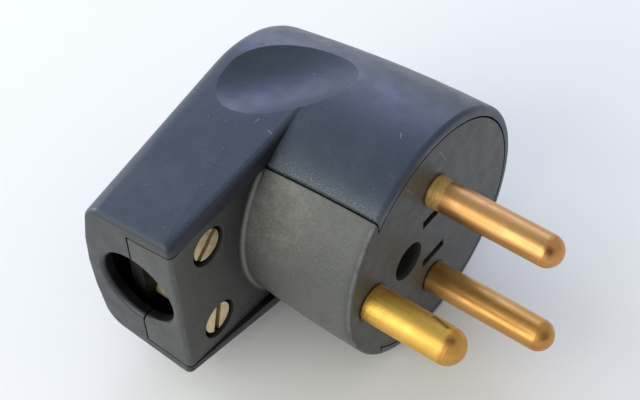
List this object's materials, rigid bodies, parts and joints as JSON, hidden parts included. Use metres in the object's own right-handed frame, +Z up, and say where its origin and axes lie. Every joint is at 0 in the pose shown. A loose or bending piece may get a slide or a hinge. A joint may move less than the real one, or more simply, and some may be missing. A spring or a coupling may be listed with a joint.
{
  "type": "angled grounded plug",
  "caption": "Right-angle rewirable mains plug: round body with round pins on its face, moulded cover with thumb scoops, and a side arm with cord clamp and cable inlet.",
  "frame": {"origin": "middle of the pin face, half way between the two long pins", "axes": "+X out along the pins, -Y along the arm to the cable inlet, +Z up along the line of the two long pins"},
  "size_m": [0.0575, 0.0516, 0.0394],
  "materials": {
    "cover_plastic": "satin moulded, slate blue-grey",
    "base_plastic": "fine matte moulded, dark grey",
    "long_pin_brass": "turned, rose tint, lightly worn",
    "earth_pin_brass": "turned, yellow, lightly worn",
    "screw_brass": "plain, slotted"
  },
  "bodies": {
    "root": {"cover": "cover_plastic", "base": "base_plastic", "live_pin": "long_pin_brass", "neutral_pin": "long_pin_brass", "earth_pin": "earth_pin_brass", "live_terminal_screw": "screw_brass", "neutral_terminal_screw": "screw_brass", "earth_terminal_screw": "screw_brass", "cord_clamp_bar": "base_plastic", "upper_clamp_screw": "screw_brass", "lower_clamp_screw": "screw_brass", "upper_clamp_nut": "screw_brass", "lower_clamp_nut": "screw_brass", "assembly_screw": "screw_brass", "assembly_insert": "screw_brass"}
  },
  "joints": []
}
